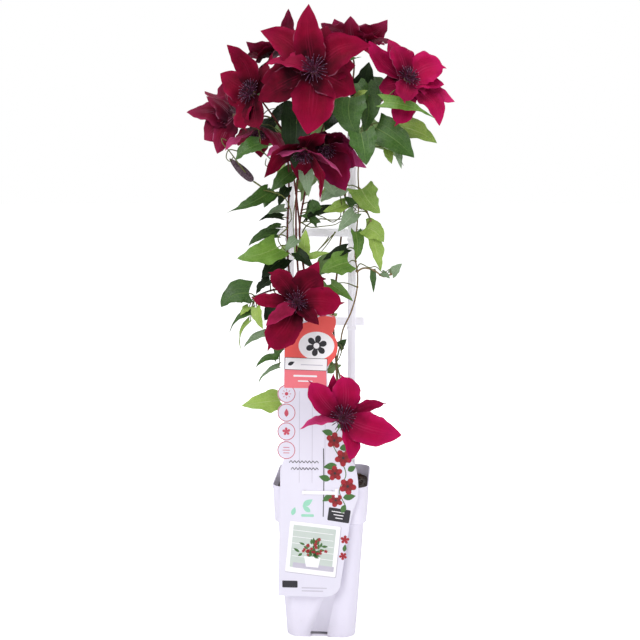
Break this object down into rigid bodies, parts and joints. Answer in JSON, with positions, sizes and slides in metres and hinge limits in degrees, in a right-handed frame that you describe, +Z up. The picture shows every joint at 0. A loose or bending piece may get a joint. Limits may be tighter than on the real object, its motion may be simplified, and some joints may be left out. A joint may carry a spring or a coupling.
{
  "type": "clematis plant on a trellis",
  "caption": "Climbing clematis in bloom, twined up a white ladder trellis in a square tapered pot, with crimson flowers, green leaves, a closed bud and a card plant label clipped to the rim.",
  "frame": {"origin": "centre of the pot's flat foot, on the surface it stands on", "axes": "+Z up along the trellis, -Y towards the front with the plant label, +X to the right seen from the front"},
  "size_m": [0.2892, 0.1979, 0.6927],
  "materials": {
    "pot": "satin, moulded",
    "soil": "rough, crumbly",
    "trellis": "satin, moulded",
    "label": "smooth printed card",
    "clip": "satin",
    "bud": "matt, ribbed",
    "tepals": "velvety",
    "stamens": "matt",
    "foliage": "satin leaf"
  },
  "bodies": {
    "root": {"pot": "pot", "soil": "soil", "trellis": "trellis", "label": "label", "label_clip": "clip", "bud": "bud", "bloom_a": "tepals", "stamens_a": "stamens", "bloom_b": "tepals", "stamens_b": "stamens", "bloom_c": "tepals", "stamens_c": "stamens", "bloom_d": "tepals", "stamens_d": "stamens", "bloom_e": "tepals", "stamens_e": "stamens", "bloom_f": "tepals", "stamens_f": "stamens", "bloom_g": "tepals", "stamens_g": "stamens", "bloom_h": "tepals", "stamens_h": "stamens", "bloom_i": "tepals", "stamens_i": "stamens", "bloom_j": "tepals", "stamens_j": "stamens", "bloom_k": "tepals", "stamens_k": "stamens", "leafy_stem_left": "foliage", "leafy_stem_centre": "foliage", "leafy_stem_middle": "foliage", "leafy_stem_right": "foliage", "leafy_stem_rear_right": "foliage", "leafy_stem_rear_left": "foliage"}
  },
  "joints": []
}
